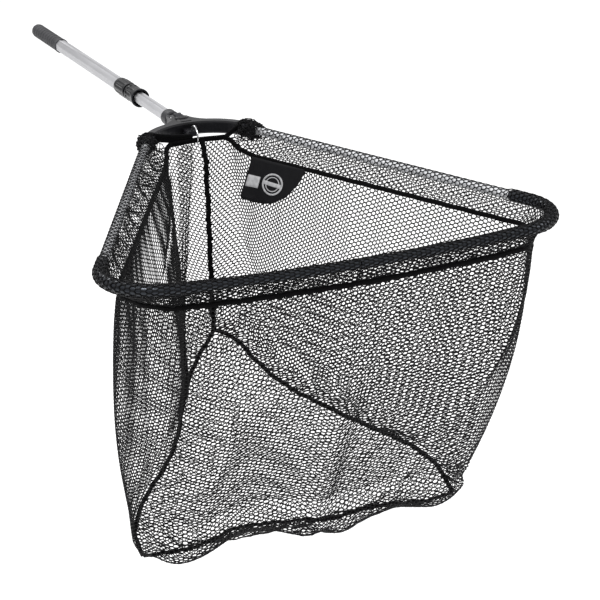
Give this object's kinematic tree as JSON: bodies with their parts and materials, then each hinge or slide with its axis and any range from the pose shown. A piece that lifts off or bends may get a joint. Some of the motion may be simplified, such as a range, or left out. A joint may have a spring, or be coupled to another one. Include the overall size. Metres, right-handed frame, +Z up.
{
  "type": "landing net",
  "caption": "Folding landing net: telescopic octagonal handle with twist lock, fold-back plastic yoke, triangular frame with flexible front tube and a deep taped mesh bag.",
  "frame": {"origin": "centre of the flat end of the grip at the butt of the handle", "axes": "+Y along the handle from the butt to the head, +Z up when the net is held level with the bag hanging, +X to the left-hand side of the head as seen from in front"},
  "size_m": [0.7228, 1.7472, 0.5794],
  "materials": {
    "rubber": "matt moulded rubber",
    "anodised": "satin anodised",
    "arm_metal": "satin anodised, drawn round tube",
    "black_plastic": "fine moulded grain",
    "grey_plastic": "moulded, dark grey",
    "steel": "bright zinc or stainless",
    "flex_tube": "flexible black tube, mesh drawn over it",
    "mesh": "rubber-coated knotless mesh, open",
    "tape": "woven binding tape"
  },
  "bodies": {
    "handle": {"grip": "rubber", "outer_tube": "anodised", "lock_body": "black_plastic", "lock_collet": "grey_plastic"},
    "lock_nut": {"lock_nut": "black_plastic"},
    "pole": {"inner_tube": "anodised", "guide_bush": "black_plastic", "socket": "grey_plastic"},
    "head": {"yoke": "black_plastic", "hinge_pin": "steel", "pivot_pin_left": "steel", "pivot_pin_right": "steel", "hem_ring": "steel", "front_tube": "flex_tube", "sleeve_front": "mesh", "hem_front": "tape", "hem_chord": "tape", "seam_back": "tape", "bag_left": "mesh", "bag_right": "mesh", "bag_front": "mesh", "bag_base": "mesh", "tape_base_left": "tape", "tape_base_right": "tape", "tape_base_front": "tape"},
    "button": {"push_button": "black_plastic"},
    "left_arm": {"arm_left": "arm_metal", "arm_eye_left": "steel", "rivet_left": "steel", "sleeve_left": "mesh", "hem_left": "tape"},
    "right_arm": {"arm_right": "arm_metal", "arm_eye_right": "steel", "rivet_right": "steel", "sleeve_right": "mesh", "hem_right": "tape", "label": "tape"}
  },
  "joints": [
    {"name": "lock_twist", "type": "hinge", "parent": "handle", "child": "lock_nut", "pos_m": [0, 0.69, 0], "axis": [0, 1, 0], "range_deg": [0, 120]},
    {"name": "handle_extend", "type": "slide", "parent": "handle", "child": "pole", "axis": [0, 1, 0], "range_m": [0, 0.36]},
    {"name": "head_fold", "type": "hinge", "parent": "pole", "child": "head", "pos_m": [0, 0.93, 0.0105], "axis": [1, 0, 0], "range_deg": [0, 155]},
    {"name": "button_press", "type": "slide", "parent": "head", "child": "button", "axis": [0, 0, -1], "range_m": [0, 0.0022], "stiffness_N_per_m": 400, "springref_m": -0.003},
    {"name": "left_arm_fold", "type": "hinge", "parent": "head", "child": "left_arm", "pos_m": [0.0915, 1.037, 0.001], "axis": [0, 0.0454, 0.999], "range_deg": [0, 24.3], "deforming": ["front_tube", "sleeve_front", "hem_front"]},
    {"name": "right_arm_fold", "type": "hinge", "parent": "head", "child": "right_arm", "pos_m": [-0.0915, 1.037, 0.001], "axis": [0, -0.0454, -0.999], "range_deg": [0, 24.3]}
  ],
  "couplings": [
    {"joint": "right_arm_fold", "follows": "left_arm_fold", "ratio": 1}
  ]
}
